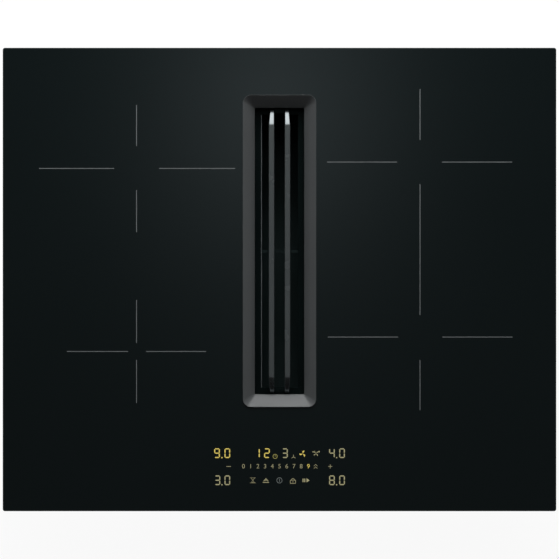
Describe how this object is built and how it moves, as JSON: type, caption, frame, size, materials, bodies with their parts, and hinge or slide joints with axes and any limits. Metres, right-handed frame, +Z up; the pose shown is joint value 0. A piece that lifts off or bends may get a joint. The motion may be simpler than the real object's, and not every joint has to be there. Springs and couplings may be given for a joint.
{
  "type": "downdraft induction hob",
  "caption": "Flush black glass induction hob with a long central downdraft intake, lift-out grille, filter basket and drip tray, and a radial fan unit below with a flat rear duct outlet.",
  "frame": {"origin": "centre of the glass plate, on the worktop plane that its seal rests on", "axes": "+X to the cook's right, +Y towards the rear of the worktop, +Z up"},
  "size_m": [0.614, 0.514, 0.2066],
  "materials": {
    "ceramic_glass": "polished",
    "black_coating": "satin",
    "seal_rubber": "matte",
    "sheet_steel": "satin",
    "spring_steel": "satin",
    "well_plastic": "matte",
    "housing_plastic": "matte",
    "impeller_plastic": "satin",
    "motor_metal": "satin",
    "stator_steel": "satin",
    "copper": "satin",
    "carrier_plastic": "matte",
    "ferrite": "matte",
    "mica": "matte",
    "aluminium": "satin",
    "board_green": "satin",
    "component_plastic": "satin",
    "display": "gloss",
    "contact_foam": "matte",
    "white_plastic": "satin"
  },
  "bodies": {
    "hob": {"glass_plate": "ceramic_glass", "worktop_seal": "seal_rubber", "slot_bezel": "black_coating", "bezel_corners": "black_coating", "bezel_seal": "seal_rubber", "casing": "sheet_steel", "worktop_clips": "spring_steel", "intake_well": "well_plastic", "well_gasket": "seal_rubber", "housing_gasket": "seal_rubber", "plenum_shell": "housing_plastic", "inlet_plate": "housing_plastic", "scroll_housing": "housing_plastic", "duct_spigot": "housing_plastic", "overflow_trough": "housing_plastic", "housing_clips": "spring_steel", "hanger_brackets": "sheet_steel", "motor_stator": "stator_steel", "motor_plate": "sheet_steel", "motor_buffers": "seal_rubber", "motor_nuts": "spring_steel", "fan_control_box": "housing_plastic", "fan_control_board": "board_green", "coil_windings": "copper", "coil_carriers": "carrier_plastic", "ferrite_bars": "ferrite", "insulation_sheets": "mica", "coil_sensors": "white_plastic", "coil_plate_left": "aluminium", "coil_plate_right": "aluminium", "plate_posts": "sheet_steel", "power_board_left": "board_green", "power_board_right": "board_green", "heat_sink_left": "aluminium", "heat_sink_right": "aluminium", "power_parts": "component_plastic", "cooling_fan_frames": "component_plastic", "panel_carrier": "component_plastic", "panel_board": "board_green", "digit_displays": "display", "touch_pads": "contact_foam", "cable_gland": "component_plastic", "terminal_block": "white_plastic", "terminal_cover": "component_plastic", "mains_filter_board": "board_green", "mains_filter_parts": "component_plastic"},
    "drip_tray": {"drip_tray": "well_plastic"},
    "filter": {"filter_basket": "black_coating"},
    "grille": {"intake_grille": "black_coating"},
    "fan_wheel": {"impeller": "impeller_plastic", "impeller_blades": "impeller_plastic", "impeller_shroud": "impeller_plastic", "motor_rotor": "motor_metal"},
    "cooling_rotor_left": {"cooling_fan_rotor_left": "component_plastic"},
    "cooling_rotor_right": {"cooling_fan_rotor_right": "component_plastic"}
  },
  "joints": [
    {"name": "drip_tray_lift", "type": "slide", "parent": "hob", "child": "drip_tray", "axis": [0, 0, 1], "range_m": [0, 0.13]},
    {"name": "filter_lift", "type": "slide", "parent": "drip_tray", "child": "filter", "axis": [0, 0, 1], "range_m": [0, 0.085]},
    {"name": "grille_lift", "type": "slide", "parent": "filter", "child": "grille", "axis": [0, 0, 1], "range_m": [0, 0.025]},
    {"name": "fan_wheel_spin", "type": "hinge", "parent": "hob", "child": "fan_wheel", "pos_m": [0.134, 0.025, -0.15], "axis": [0, 0, 1], "continuous": true},
    {"name": "cooling_rotor_left_spin", "type": "hinge", "parent": "hob", "child": "cooling_rotor_left", "pos_m": [-0.162, -0.13, -0.038], "axis": [0, 0, 1], "continuous": true},
    {"name": "cooling_rotor_right_spin", "type": "hinge", "parent": "hob", "child": "cooling_rotor_right", "pos_m": [0.162, -0.13, -0.038], "axis": [0, 0, 1], "continuous": true}
  ]
}
